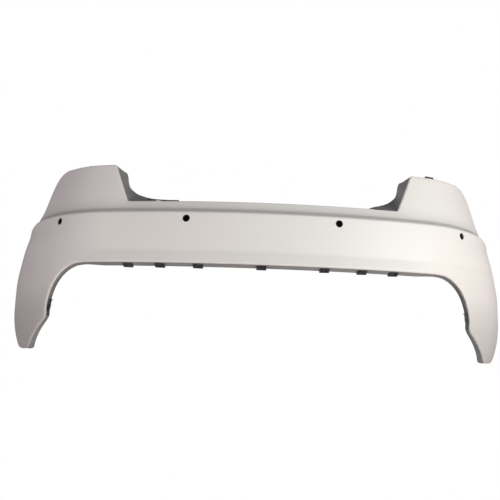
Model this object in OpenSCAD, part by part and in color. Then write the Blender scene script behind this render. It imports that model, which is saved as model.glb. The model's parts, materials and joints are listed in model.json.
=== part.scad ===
// Rear bumper cover of a hatchback with its parking-sensor holders, brackets, nuts and push rivets.
// Millimetres. +X to the right seen from behind the car, +Y forward into the car, +Z up.
// The origin is the middle of the row of rivet holes, on the underside of the tailgate sill flange.

/* [Skin plan shape] */
// Radius of the shallow crown across the middle
crown_r = 2200; // [1900:10:2600]
// Half width covered by the crown before the corners start
crown_x = 460; // [430:1:490]
// Radius of the corners
corner_r = 455; // [420:1:490]
// Heading at which a corner ends and the side begins, degrees
corner_end = 59.7; // [56:0.1:62]
// Radius of the sides running to the wheel arches
side_r = 1150; // [1000:10:1400]

/* [Skin heights above the feet] */
// Lower edge of the face over the valance opening
low_z = 262.5; // [252:0.5:268]
// Soft feature line near the lower edge
line_z = 291; // [284:1:296]
// Top of the shoulder, where it turns into the cove
shoulder_z = 404; // [400:1:406]
// Tailgate sill
sill_z = 439; // [436:1:444]
// Top edge of the uprights below the lamps
top_z = 556; // [548:1:560]

/* [Skin section] */
// Moulded wall thickness
wall = 2.8; // [2.4:0.1:3.2]
// Outside radius where the face turns into its return flanges
edge_r = 5; // [4:0.5:6]
// Depth of the shoulder step in the middle
step_mid = 13; // [10:0.5:16]
// Extra depth of the shoulder step on the sides
step_side = 3; // [0:0.5:8]
// Rounding of the sides up to the shoulder
side_round = 9; // [8:0.5:16]
// Lean of the surface above the shoulder, slope
lean_mid = 0.13; // [0.1:0.01:0.16]
// Extra lean on the sides, slope
lean_side = 0.12; // [0.08:0.01:0.16]
// Extra lean of the narrow face under the tailgate sill, slope
sill_lean = 0.17; // [0.1:0.01:0.22]
// Flare of the face below the feature line, slope
lip_out = 0.1; // [0.04:0.01:0.14]
// Bulge of the sides below the shoulder
flare = 21; // [12:1:24]
// Tuck of the feet towards the car
foot_tuck = 26; // [16:1:34]

/* [Wheel arch and legs] */
// Radius of the wheel arch edge
arch_r = 380; // [370:1:390]
// Height of the wheel centre above the feet
arch_z = 90; // [80:1:100]
// Distance of the rearmost point of the arch edge along the skin
arch_s = 915; // [905:1:925]

/* [Parking sensors] */
// Distance of the inner sensor holes from the middle, along the skin
sensor_in = 220; // [200:1:250]
// Distance of the outer sensor holes from the middle, along the skin
sensor_out = 633; // [620:1:645]
// Height of the sensor holes above the feet
sensor_z = 386; // [380:1:388]
// Radius of the hole in the skin
sensor_hole_r = 10.6; // [10:0.1:11.5]
// Radius of the sensor bore in a holder
sensor_bore_r = 9.8; // [9:0.1:10]
// Length of the holder sleeve
sensor_len = 22; // [18:1:26]

/* [Sill rivets] */
// Distance of the rivet row behind the rearmost point of the face
rivet_y = 60; // [57:1:62]
// Distance between neighbouring rivets
rivet_pitch = 160; // [150:1:165]
// Radius of the rivet holes in the flange and the strip
rivet_hole_r = 4.2; // [4.1:0.1:4.6]
// Radius of the shank of a rivet body
rivet_shank_r = 3.9; // [3.6:0.1:3.9]
// Radius of the bore a pin slides in
rivet_bore_r = 2.3; // [2.2:0.1:2.5]
// Radius of the pin shank
pin_r = 2; // [1.8:0.1:2]

/* [Fixings] */
// Radius of the screw holes in the wheel arch flange
arch_hole_r = 3.7; // [3.4:0.1:3.9]
// Radius of the screw shanks
screw_r = 2.4; // [2:0.1:2.5]
// Thickness of the spring steel clip nuts
clip_t = 0.9; // [0.8:0.1:1]

/* [Output] */
// Node to draw, or all of them

/* [Hidden] */
deg = 180 / PI;
crown_h = asin(crown_x / crown_r);
crown_s = crown_r * crown_h / deg;
corner_s = crown_s + corner_r * (corner_end - crown_h) / deg;
corner_x = crown_x + corner_r * (sin(corner_end) - sin(crown_h));
crown_y = crown_r * (1 - cos(crown_h));
corner_y = crown_y + corner_r * (cos(crown_h) - cos(corner_end));
cove_z = shoulder_z + 16;
rivet_x = [for (k = [0:3]) (k - 1.5) * rivet_pitch];
skin_colour = [0.86, 0.84, 0.82];
black_plastic = [0.08, 0.08, 0.08];
zinc_steel = [0.66, 0.67, 0.68];
black_steel = [0.13, 0.13, 0.14];

function unit(v) = v / norm(v);
function mix(a, b, t) = a + (b - a) * t;
function ease(a, b, t) = let (u = max(0, min(1, (t - a) / (b - a)))) u * u * (3 - 2 * u);

// Heading of the plan curve and its points, by distance from the middle.
function heading(a) = a < crown_s ? a / crown_r * deg
  : a < corner_s ? crown_h + (a - crown_s) / corner_r * deg
  : corner_end + (a - corner_s) / side_r * deg;
function plan_x(a, h) = a < crown_s ? crown_r * sin(h)
  : a < corner_s ? crown_x + corner_r * (sin(h) - sin(crown_h))
  : corner_x + side_r * (sin(h) - sin(corner_end));
function plan_y(a, h) = a < crown_s ? crown_r * (1 - cos(h))
  : a < corner_s ? crown_y + corner_r * (cos(crown_h) - cos(h))
  : corner_y + side_r * (cos(corner_end) - cos(h));

// How far the section lies inside the plan curve at a height above the feet.
function inset(a, z) = let (side = ease(520, 900, a), leg = ease(430, 560, a))
  (step_mid + step_side * side) * ease(shoulder_z - 2, cove_z, z)
  + max(0, z - cove_z + 3) * (lean_mid + lean_side * side)
  + side_round * side * ease(shoulder_z - 85, shoulder_z + 2, z)
  - flare * side * ease(shoulder_z - 8, 190, z)
  + sill_lean * max(0, min(z, sill_z + 6) - cove_z + 3) * (1 - ease(375, 455, a))
  + max(0, line_z - z) * mix(-lip_out, 0.1 * (1 - side), leg)
  + foot_tuck * side * pow(max(0, 130 - z) / 130, 2);

// Outer surface and its outward normal on the right-hand half.
function skin_point(a, z) = let (h = heading(a), e = inset(a, z))
  [plan_x(a, h) - sin(h) * e, plan_y(a, h) + cos(h) * e, z];
function skin_normal(a, z) = unit(cross(skin_point(a + 1, z) - skin_point(max(a - 1, 0), z),
  skin_point(a, z + 0.6) - skin_point(a, z - 0.6)));
function mirrored(v) = [-v[0], v[1], v[2]];
function inward(n) = unit([-n[0], -n[1], 0]);
// Direction a return flange runs in: straight forward, turning inwards on the sides.
function flange_dir(a) = let (h = heading(a), w = h * ease(30, 75, h)) [-sin(w), cos(w), 0];
function arch_edge(z) = arch_s + arch_r - sqrt(arch_r * arch_r - pow(z - arch_z, 2));

// Outline of the right-hand half: points on the lower edge and on the upper edge, by column.
sill_corner = [400.8, sill_z + 14];
inner_edge = [for (k = [1:5]) [mix(413.6, 457, k / 5), mix(sill_z + 8.5, top_z - 9, k / 5)]];
upper = concat(
  [for (s = [0, 60, 120, 180, 240, 290, 325, 355, 385]) [s, sill_z]],
  [for (k = [0:4]) sill_corner + 14 * [cos(-90 + k * 16.7), sin(-90 + k * 16.7)]],
  inner_edge,
  [[459, top_z - 4], [461, top_z - 1], [465, top_z]],
  [for (s = [500, 545, 590, 630]) [s, top_z + (s - 465) / 60]],
  [[667, top_z + 5], [710, top_z + 2], [748, top_z - 9], [779, top_z - 29], [798, top_z - 58]],
  [[809, top_z - 85], [821, top_z - 104], [843, top_z - 116]],
  [for (s = [885, 940, 995, 1045, 1088]) [s, mix(top_z - 119, top_z - 124, (s - 885) / 200)]],
  [[arch_edge(top_z - 125), top_z - 125]]);
lower = concat(
  [for (s = [0, 60, 120, 180, 240, 290, 325, 355, 385]) [s, low_z]],
  [for (k = [1:13]) [385 + k * 10.4, low_z]],
  [for (k = [1:9]) [530 + 147 * sin(k * 10), 101 + (low_z - 101) * cos(k * 10)]],
  [[706, 75], [739, 47], [768, 22]],
  [[786, 9], [811, 5], [846, 4], [880, 5], [907, 9]],
  [[arch_edge(18), 18]]);
cols = len(upper) - 1;
crease = [for (i = [0:cols]) let (w = i < 9 ? 0.5 : i < 34 ? 0.6 : 0.6 + 0.04 * (i - 33))
  mix(lower[i][0], upper[i][0], w)];
row_below = [0, 0.05, 0.12, 0.22, 0.36, 0.52, 0.7, 0.87, 1];
row_crease = [2.5, 5, 7.5, 10, 13, 16];
row_above = [0.25, 0.5, 0.75, 1];
rows = len(row_below) + len(row_crease) + len(row_above) - 1;

// Place of a grid point along the skin and up it.
function arch_pull(i, z, w) = i < 34 ? 0
  : (arch_edge(z) - mix(lower[cols][0], arch_edge(shoulder_z), w)) * (i - 33) / (cols - 33);
function crease_at(i) = i < 34 ? crease[i]
  : mix(crease[33], arch_edge(shoulder_z), (i - 33) / (cols - 33));
function place_below(i, w) = let (z = mix(lower[i][1], shoulder_z, w))
  [mix(lower[i][0], crease_at(i), w) + arch_pull(i, z, w), z];
function place_crease(i, dz) = let (z = shoulder_z + dz)
  [i < 34 ? crease[i] : mix(crease[33], arch_edge(z), (i - 33) / (cols - 33)), z];
function place_above(i, w) = let (z = mix(cove_z, upper[i][1], w), s0 = place_crease(i, 16)[0])
  [i == cols ? arch_edge(z) : mix(s0, upper[i][0], w), z];
function place(i, j) = j < 9 ? place_below(i, row_below[j])
  : j < 15 ? place_crease(i, row_crease[j - 9])
  : place_above(i, row_above[j - 15]);

half_place = [for (j = [0:rows]) [for (i = [0:cols]) place(i, j)]];
half_point = [for (r = half_place) [for (q = r) skin_point(q[0], q[1])]];
half_normal = [for (r = half_place) [for (q = r) skin_normal(q[0], q[1])]];
function gp(i, j) = i < 0 ? mirrored(half_point[j][-i]) : half_point[j][i];
function gn(i, j) = i < 0 ? mirrored(half_normal[j][-i]) : half_normal[j][i];

// Edge loop, anticlockwise seen from behind the car.
loop = concat(
  [for (i = [-cols:cols]) [i, 0]],
  [for (j = [1:rows]) [cols, j]],
  [for (i = [cols - 1:-1:-cols]) [i, rows]],
  [for (j = [rows - 1:-1:1]) [-cols, j]]);
edges = len(loop);

// Return flange by edge: depth, lean out of the face, lip, shift along the skin, shift up.
scoop = [[0, 0], [-4, 12], [-10, 23], [-19, 29], [-21, 34], [-16, 37], [-10, 40], [-5, 43],
  [0, 45], [2, 35], [0, 26], [-4, 18], [-9, 11], [-13, 3], [-14, 0], [-12, -2], [-8, -3]];
function low_flange(i) = i < 22 ? [23, 7.4 - 3.4 * ease(14, 22, i), 0.5, 0, 0]
  : i < 31 ? [mix(23, 25, (i - 21) / 9), mix(4, -1, (i - 21) / 9), 0.5 + 2 * sin((i - 21) * 18), 0, 0]
  : i < 34 ? [26, -1, 0.5, 0, 0] : [mix(25, 22, (i - 33) / 6), 0, 0.5, 0, 0];
function top_flange(i) = i < 5 ? [60, 0, 0.5, 0, 0]
  : i < 22 ? let (q = scoop[i - 5]) [i < 19 ? mix(60, 76, ease(5, 13, i)) : mix(76, 46, (i - 18) / 4),
    0, 0.5, q[0], q[1]]
  : i < 31 ? [34, 0, 0.5, 0, 0] : [mix(34, 24, (i - 30) / 9), 0, 0.5, 0, 0];
function flange(q) = let (i = abs(q[0]), j = q[1])
  j == 0 ? low_flange(i) : j == rows ? top_flange(i) : [22, 0, 0.5, 0, 0];

// The ring of points round one edge: rounded turn, flange, lip, and back along the inside.
function edge_ring(k) = let (
  q = loop[k], p = gp(q[0], q[1]), n = gn(q[0], q[1]),
  qa = loop[(k + edges - 1) % edges], qb = loop[(k + 1) % edges],
  ta = unit(p - gp(qa[0], qa[1])), tb = unit(gp(qb[0], qb[1]) - p),
  m = unit(cross(ta + tb, n)), c = p - n * edge_r, g = flange(q), side = q[0] < 0 ? -1 : 1,
  b = flange_dir(half_place[q[1]][abs(q[0])][0]), f = [b[0] * side, b[1], 0],
  t = [b[1] * side, -b[0], 0],
  deep = g[0] - edge_r, off = m * g[1] + t * g[3] + [0, 0, g[4]], tip = off * deep / (deep - wall))
  concat(
    [for (a = [30, 60, 90]) c + edge_r * (n * cos(a) + m * sin(a))],
    [c + m * edge_r + f * (deep - wall) + off, c + m * (edge_r + g[2]) + f * (deep - wall) + off,
     c + m * (edge_r + g[2]) + f * deep + tip, c + m * (edge_r - wall) + f * deep + tip],
    [for (a = [90, 60, 30]) c + (edge_r - wall) * (n * cos(a) + m * sin(a))]);

wide = 2 * cols + 1;
outer_count = wide * (rows + 1);
ring_n = 10;
skin_points = concat(
  [for (j = [0:rows]) for (i = [-cols:cols]) gp(i, j)],
  [for (j = [0:rows]) for (i = [-cols:cols]) gp(i, j) - gn(i, j) * wall],
  [for (k = [0:edges - 1]) each edge_ring(k)]);
function vo(i, j) = j * wide + i + cols;
function vr(k, r) = let (q = loop[k % edges])
  r == 0 ? vo(q[0], q[1]) : r == ring_n + 1 ? vo(q[0], q[1]) + outer_count
  : 2 * outer_count + (k % edges) * ring_n + r - 1;
skin_faces = concat(
  [for (j = [0:rows - 1]) for (i = [-cols:cols - 1])
    each [[vo(i, j), vo(i, j + 1), vo(i + 1, j + 1)], [vo(i, j), vo(i + 1, j + 1), vo(i + 1, j)]]],
  [for (j = [0:rows - 1]) for (i = [-cols:cols - 1]) let (d = outer_count)
    each [[vo(i, j) + d, vo(i + 1, j + 1) + d, vo(i, j + 1) + d],
      [vo(i, j) + d, vo(i + 1, j) + d, vo(i + 1, j + 1) + d]]],
  [for (k = [0:edges - 1]) for (r = [0:ring_n])
    each [[vr(k, r), vr(k + 1, r), vr(k + 1, r + 1)], [vr(k, r), vr(k + 1, r + 1), vr(k, r + 1)]]]);

// Moves the build frame, with its zero at the feet and the rearmost face, to the mount frame.
sill_tilt = lean_mid + sill_lean;
sill_top = sill_z + edge_r * (1 - sill_tilt) / sqrt(1 + sill_tilt * sill_tilt);
sill_wall = wall / sqrt(1 + sill_tilt * sill_tilt);
module place_part() translate([0, -rivet_y, sill_wall - sill_top]) children();
module on_sill() translate([0, 0, sill_wall]) children();
module both(side) { if (side < 0) mirror([1, 0, 0]) children(); else children(); }

// Frame on the skin: local Z along the outward normal, local Y up the skin.
module on_skin(a, z) {
  p = skin_point(a, z);
  n = skin_normal(a, z);
  x = unit(cross([0, 0, 1], n));
  y = cross(n, x);
  multmatrix([[x[0], y[0], n[0], p[0]], [x[1], y[1], n[1], p[1]], [x[2], y[2], n[2], p[2]],
    [0, 0, 0, 1]]) children();
}

// Frame on an edge flange: local X along the edge, local Y away from the face, local Z out of it.
function edge_at(k) = let (q = loop[k], p = gp(q[0], q[1]), n = gn(q[0], q[1]), g = flange(q),
  qa = loop[(k + edges - 1) % edges], qb = loop[(k + 1) % edges],
  ta = unit(p - gp(qa[0], qa[1])), tb = unit(gp(qb[0], qb[1]) - p),
  m = unit(cross(ta + tb, n)), b = flange_dir(half_place[q[1]][abs(q[0])][0]),
  f = unit([b[0] * (q[0] < 0 ? -1 : 1), b[1], 0] * (g[0] - edge_r - wall) + m * g[1]),
  z = unit(m - f * (m * f)), x = cross(f, z))
  [x, f, z, p - n * edge_r + m * edge_r];
module on_edge(k) {
  e = edge_at(k);
  multmatrix([[e[0][0], e[1][0], e[2][0], e[3][0]], [e[0][1], e[1][1], e[2][1], e[3][1]],
    [e[0][2], e[1][2], e[2][2], e[3][2]], [0, 0, 0, 1]]) children();
}
function bottom_edge(i) = i + cols;
function arch_edge_index(j) = 2 * cols + j;
function top_edge(i) = 3 * cols + rows - i;

// Solid swept through equal rings of points; each end is a fan from the first point.
module sweep(rings) {
  n = len(rings[0]);
  m = len(rings);
  polyhedron([for (r = rings) each r], concat(
    [for (k = [0:m - 2]) for (i = [0:n - 1]) let (a = k * n + i, b = k * n + (i + 1) % n)
      each [[a, b, b + n], [a, b + n, a + n]]],
    [for (i = [1:n - 2]) [0, i + 1, i]],
    [for (i = [1:n - 2]) [(m - 1) * n, (m - 1) * n + i, (m - 1) * n + i + 1]]), convexity = 4);
}

arch_rows = [3, 5, 7];
valance_cols = [-8, -5, -3, 0, 3, 5, 8];
guide_s = [925, 1055];
lamp_s = [565, 622];
latch_col = 29;
tab_s = 532;
function lamp_edge(a) = top_z + (a - 465) / 60;
function guide_edge(a) = mix(top_z - 119, top_z - 124, (a - 885) / 200);
// Height of the inside and outside of a horizontal upper flange above the edge of the face.
function flange_in(a, z) = let (n = skin_normal(a, z))
  z - n[2] * edge_r + sqrt(1 - n[2] * n[2]) * (edge_r - wall);
function flange_out(a, z) = flange_in(a, z) + wall * sqrt(1 - pow(skin_normal(a, z)[2], 2));
// Upright frame at a point on an upper flange, a distance in from the edge of the face.
module on_flange(a, z, d) {
  p = skin_point(a, z);
  f = inward(skin_normal(a, z));
  translate([p[0] + f[0] * d, p[1] + f[1] * d, flange_out(a, z)]) rotate(heading(a)) children();
}

module screw_hole(r) translate([0, 0, -25]) cylinder(h = 35, r = r, $fn = 24);
module screw_boss() translate([0, 0, -15]) cylinder(h = 10.2, r = 5.5, $fn = 32);

module cover_skin() {
  color(skin_colour) place_part() difference() {
    polyhedron(skin_points, skin_faces, convexity = 12);
    for (side = [-1, 1]) both(side) {
      for (a = [sensor_in, sensor_out]) on_skin(a, sensor_z)
        cylinder(h = 40, r = sensor_hole_r, center = true, $fn = 48);
      for (a = lamp_s) on_flange(a, lamp_edge(a), 16) screw_hole(arch_hole_r);
      for (a = guide_s) on_flange(a, guide_edge(a), 13) screw_hole(arch_hole_r);
      for (j = arch_rows) on_edge(arch_edge_index(j)) translate([0, 8, 0])
        cylinder(h = 16, r = arch_hole_r, center = true, $fn = 24);
      on_edge(bottom_edge(latch_col)) translate([0, 8, 0])
        cylinder(h = 16, r = arch_hole_r, center = true, $fn = 24);
    }
    on_flange(tab_s, lamp_edge(tab_s), 13) cylinder(h = 20, r = arch_hole_r, center = true, $fn = 24);
    for (i = valance_cols) on_edge(bottom_edge(i)) translate([0, 9, 0])
      cylinder(h = 16, r = arch_hole_r, center = true, $fn = 24);
    for (x = rivet_x) translate([x, rivet_y, sill_top])
      cylinder(h = 20, r = rivet_hole_r, center = true, $fn = 32);
  }
}

// Flat steel strip along the rivet row, on top of the sill flange.
module sill_strip() {
  color(zinc_steel) on_sill() difference() {
    union() {
      translate([-262, -9, 0.1]) cube([524, 19, 1.5]);
      translate([-262, 9, 0.1]) cube([524, 1.2, 6]);
    }
    for (x = rivet_x) translate([x, 0, 0]) cylinder(h = 10, r = rivet_hole_r, center = true, $fn = 32);
    for (x = [-160, 0, 160]) translate([x - 25, -3, -1]) cube([50, 6, 4]);
  }
}

// Expanding bodies of the push rivets: round head, slotted shank.
module rivet_bodies() {
  color(black_plastic) on_sill() for (x = rivet_x) translate([x, 0, 1.7]) difference() {
    union() {
      cylinder(h = 1.8, r = 8.5, $fn = 48);
      translate([0, 0, -13]) cylinder(h = 14, r = rivet_shank_r, $fn = 32);
    }
    translate([0, 0, -20]) cylinder(h = 30, r = rivet_bore_r, $fn = 32);
    translate([0, 0, 0.8]) cylinder(h = 3, r = 6.2, $fn = 48);
    translate([-0.6, -6, -14]) cube([1.2, 12, 8]);
    translate([-6, -0.6, -14]) cube([12, 1.2, 8]);
  }
}

// Push pin of a rivet: slotted head, shank, tapered tip.
module rivet_pin(k) {
  color(black_plastic) on_sill() translate([rivet_x[k], 0, 2.8]) difference() {
    union() {
      cylinder(h = 1.8, r = 5.8, $fn = 48);
      translate([0, 0, -15]) cylinder(h = 16, r = pin_r, $fn = 32);
      translate([0, 0, -17]) cylinder(h = 2, r1 = 0.9, r2 = pin_r, $fn = 32);
    }
    translate([-4, -0.6, 1]) cube([8, 1.2, 2]);
    translate([-0.6, -4, 1]) cube([1.2, 8, 2]);
  }
}

// Holder bonded behind the skin: base, cup for the sensor with a cable slot, ribs, latch arms.
module sensor_holder(side, a, gap) {
  color(black_plastic) place_part() both(side) on_skin(a, sensor_z) translate([0, 0, -wall - gap])
    mirror([0, 0, 1]) difference() {
      union() {
        difference() {
          cylinder(h = 2.2, r = 22, $fn = 64);
          translate([-25, 13.5, -1]) cube([50, 20, 5]);
        }
        cylinder(h = sensor_len, r = sensor_bore_r + 2.4, $fn = 64);
        for (t = [35, 145]) rotate(t) translate([-20, -0.9, 1]) cube([40, 1.8, 9]);
        for (t = [0, 180]) rotate(t) {
          translate([14.5, -5, 1]) cube([2, 10, 25]);
          translate([12.9, -5, 22.8]) cube([2.6, 10, 3.2]);
        }
      }
      translate([0, 0, -1]) cylinder(h = sensor_len - 1, r = sensor_bore_r, $fn = 64);
      translate([0, 0, -1]) cylinder(h = 2, r = sensor_bore_r + 0.8, $fn = 64);
      translate([-3, -14, sensor_len - 6]) cube([6, 11, 3.5]);
      for (t = [235, 270, 305]) rotate(t) translate([17.5, 0, -1]) cylinder(h = 5, r = 1.6, $fn = 24);
    }
}

// Angle section that follows an upper flange from inside.
function angle_ring(a, z, d0, d1, drop) = let (p = skin_point(a, z), f = inward(skin_normal(a, z)),
  h = flange_in(a, z) - 0.4)
  [for (q = [[d1 - 3, h - 3], [d0, h - 3], [d0, h], [d1, h], [d1, h - drop], [d1 - 3, h - drop]])
    [p[0] + f[0] * q[0], p[1] + f[1] * q[0], q[1]]];
module lamp_bracket(side) {
  color(black_plastic) place_part() both(side) difference() {
    union() {
      sweep([for (k = [0:7]) let (a = 510 + k * 18) angle_ring(a, lamp_edge(a), 9, 38, 24)]);
      for (a = lamp_s) on_flange(a, lamp_edge(a), 16) screw_boss();
    }
    for (a = lamp_s) on_flange(a, lamp_edge(a), 16) screw_hole(screw_r + 0.15);
  }
}
module side_guide(side) {
  color(black_plastic) place_part() both(side) difference() {
    union() {
      sweep([for (k = [0:9]) let (a = 898 + k * 20.5) angle_ring(a, guide_edge(a), 8, 34, 30)]);
      for (a = guide_s) on_flange(a, guide_edge(a), 13) screw_boss();
    }
    for (a = guide_s) on_flange(a, guide_edge(a), 13) screw_hole(screw_r + 0.15);
    for (a = [960, 1000]) on_flange(a, guide_edge(a), 33) translate([-12, -10, -26]) cube([24, 20, 10]);
  }
}

// Washer-head screw, its seat at z = 0, pointing down.
module washer_screw() {
  difference() {
    union() {
      translate([0, 0, 0.4]) cylinder(h = 1.2, r = 6, $fn = 40);
      translate([0, 0, 1.5]) cylinder(h = 3.4, r = 4, $fn = 6);
      translate([0, 0, -14]) cylinder(h = 15, r = screw_r, $fn = 24);
      translate([0, 0, -15.5]) cylinder(h = 1.5, r1 = 1.4, r2 = screw_r, $fn = 24);
    }
    translate([0, 0, 3]) cylinder(h = 3, r = 1.8, $fn = 6);
  }
}
module lamp_screws(side) {
  color(zinc_steel) place_part() both(side) for (a = lamp_s) on_flange(a, lamp_edge(a), 16) washer_screw();
}
module guide_screws(side) {
  color(zinc_steel) place_part() both(side) for (a = guide_s) on_flange(a, guide_edge(a), 13) washer_screw();
}

// Spring-steel clip nut folded over the free edge of a flange.
module clip_nut(deep, at, slack, wide) {
  e = deep + 0.5;
  difference() {
    union() {
      translate([-wide / 2, at - 6, 0.5 + slack]) cube([wide, e + clip_t - at + 6, clip_t]);
      translate([-wide / 2, e, -wall - slack - clip_t])
        cube([wide, clip_t, wall + 0.5 + 2 * (slack + clip_t)]);
      translate([-wide / 2, at - 7, -wall - slack - clip_t]) cube([wide, e + clip_t - at + 7, clip_t]);
      translate([0, at, -wall - slack - 4.8]) cylinder(h = 4.7, r = 4.2, $fn = 32);
    }
    translate([0, at, -10]) cylinder(h = 20, r = screw_r, $fn = 24);
  }
}
module arch_nuts(side) {
  color(black_steel) place_part() both(side) for (j = arch_rows) on_edge(arch_edge_index(j))
    clip_nut(23.4 - edge_r, 8, 1.6, 12);
}
module valance_nuts() {
  color(black_steel) place_part() for (i = valance_cols) on_edge(bottom_edge(i))
    clip_nut(21.3, 9, 1.4, 28);
}

// Black latch on the flange at the foot end of the valance opening.
module valance_latch(side) {
  color(black_plastic) place_part() both(side) on_edge(bottom_edge(latch_col)) difference() {
    union() {
      translate([-25, 2, 3.4]) cube([50, 11, 2.2]);
      for (x = [-25, 22.6]) translate([x, 2, 3.4]) cube([2.4, 11, 6.6]);
      translate([-9, 3, 5]) cube([18, 2, 4.5]);
      translate([-9, 3, 7.8]) cube([18, 5, 2]);
      translate([-25, 2, 8]) cube([50, 2.2, 2]);
      translate([0, 8, 1]) cylinder(h = 3, r = 5, $fn = 40);
      translate([0, 8, -9]) cylinder(h = 13.5, r = 2.8, $fn = 32);
      translate([0, 8, -10]) cylinder(h = 4, r1 = 2, r2 = 4.2, $fn = 32);
    }
    for (x = [-19, 10]) translate([x, 5, 2]) cube([9, 6, 6]);
  }
}

// Small locating tab in the top edge of the right-hand upright.
module locating_tab() {
  color(black_plastic) place_part() on_flange(tab_s, lamp_edge(tab_s), 13) union() {
    translate([-15, -8, 0.9]) cube([30, 15, 2.4]);
    translate([-15, -8, 0.9]) cube([30, 2.4, 4.8]);
    for (x = [-11, 0, 9]) translate([x, -7, 2]) cube([2, 12, 2.8]);
    translate([0, 0, -3]) cylinder(h = 5, r = 2.8, $fn = 32);
  }
}

// Soft buffer strip on the left part of the sill flange, close to its front edge.
function buffer_ring(a) = let (p = skin_point(a, sill_z),
  h = flange_out(a, sill_z) + 0.5, rise = max(0, a - 282) * 0.0085)
  [for (q = [[6, 0], [6, 2.6], [7, 3.6], [12, 3.6], [13, 2.6], [13, 0]])
    [-p[0], p[1] + q[0], h + q[1] + rise * q[0]]];
module sill_buffer() {
  color(black_plastic) place_part() sweep([for (k = [0:7]) buffer_ring(345 - k * 13.5)]);
}

cover_skin();
sill_strip();
rivet_bodies();
rivet_pin(0);  // rivet_pin_1
rivet_pin(1);  // rivet_pin_2
rivet_pin(2);  // rivet_pin_3
rivet_pin(3);  // rivet_pin_4
sensor_holder(-1, sensor_out, 1.1);  // sensor_holder_outer_left
sensor_holder(-1, sensor_in, 0.6);  // sensor_holder_inner_left
sensor_holder(1, sensor_in, 0.6);  // sensor_holder_inner_right
sensor_holder(1, sensor_out, 1.1);  // sensor_holder_outer_right
lamp_bracket(-1);  // lamp_bracket_left
lamp_bracket(1);  // lamp_bracket_right
lamp_screws(-1);  // lamp_screws_left
lamp_screws(1);  // lamp_screws_right
side_guide(-1);  // side_guide_left
side_guide(1);  // side_guide_right
guide_screws(-1);  // guide_screws_left
guide_screws(1);  // guide_screws_right
arch_nuts(-1);  // arch_nuts_left
arch_nuts(1);  // arch_nuts_right
valance_nuts();
valance_latch(-1);  // valance_latch_left
valance_latch(1);  // valance_latch_right
locating_tab();
sill_buffer();
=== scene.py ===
"""Rear bumper cover of a hatchback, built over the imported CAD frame, one operator per group of pieces."""

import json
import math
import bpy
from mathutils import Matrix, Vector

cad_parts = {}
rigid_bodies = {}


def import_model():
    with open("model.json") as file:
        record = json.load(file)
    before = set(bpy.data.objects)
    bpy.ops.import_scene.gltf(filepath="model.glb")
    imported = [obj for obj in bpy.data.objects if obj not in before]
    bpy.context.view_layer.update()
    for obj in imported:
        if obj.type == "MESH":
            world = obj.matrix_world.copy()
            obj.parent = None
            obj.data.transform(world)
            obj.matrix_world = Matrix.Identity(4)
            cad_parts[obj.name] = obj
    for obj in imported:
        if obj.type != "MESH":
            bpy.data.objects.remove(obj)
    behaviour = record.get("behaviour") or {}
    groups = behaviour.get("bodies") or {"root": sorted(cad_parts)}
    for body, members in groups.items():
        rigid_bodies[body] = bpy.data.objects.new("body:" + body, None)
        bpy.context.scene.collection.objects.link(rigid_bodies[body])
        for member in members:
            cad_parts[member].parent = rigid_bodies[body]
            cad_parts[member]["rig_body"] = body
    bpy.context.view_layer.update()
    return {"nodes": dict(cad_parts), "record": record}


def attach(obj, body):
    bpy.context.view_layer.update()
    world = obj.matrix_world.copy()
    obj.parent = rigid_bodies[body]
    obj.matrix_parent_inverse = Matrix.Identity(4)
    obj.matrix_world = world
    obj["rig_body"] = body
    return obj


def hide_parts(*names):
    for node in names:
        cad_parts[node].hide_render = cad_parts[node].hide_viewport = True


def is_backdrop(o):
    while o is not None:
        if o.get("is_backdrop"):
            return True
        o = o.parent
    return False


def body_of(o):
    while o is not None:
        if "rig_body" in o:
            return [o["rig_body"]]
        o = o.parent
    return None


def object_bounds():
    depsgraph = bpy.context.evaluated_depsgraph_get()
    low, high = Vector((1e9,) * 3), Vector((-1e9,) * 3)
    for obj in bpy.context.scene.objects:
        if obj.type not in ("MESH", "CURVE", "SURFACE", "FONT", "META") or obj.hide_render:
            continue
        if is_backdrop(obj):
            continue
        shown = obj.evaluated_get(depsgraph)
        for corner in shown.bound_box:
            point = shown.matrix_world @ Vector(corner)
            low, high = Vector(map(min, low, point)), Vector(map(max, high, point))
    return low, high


bl_info = {
    "name": "Rear bumper cover",
    "version": (1, 0, 0),
    "blender": (4, 5, 0),
    "location": "3D View > Sidebar > Bumper",
    "description": "Models the moulded cover, its fittings and a plain studio",
    "category": "Object",
}

import bmesh
import bpy
import numpy as np
from mathutils import Matrix, Vector

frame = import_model()
MM = 0.001


def size(name, value, note, unit="LENGTH"):
    return bpy.props.FloatProperty(name=name, description=note, default=value, unit=unit)


def colour(name, value, note):
    return bpy.props.StringProperty(name=name, description=note, default=value)


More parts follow.
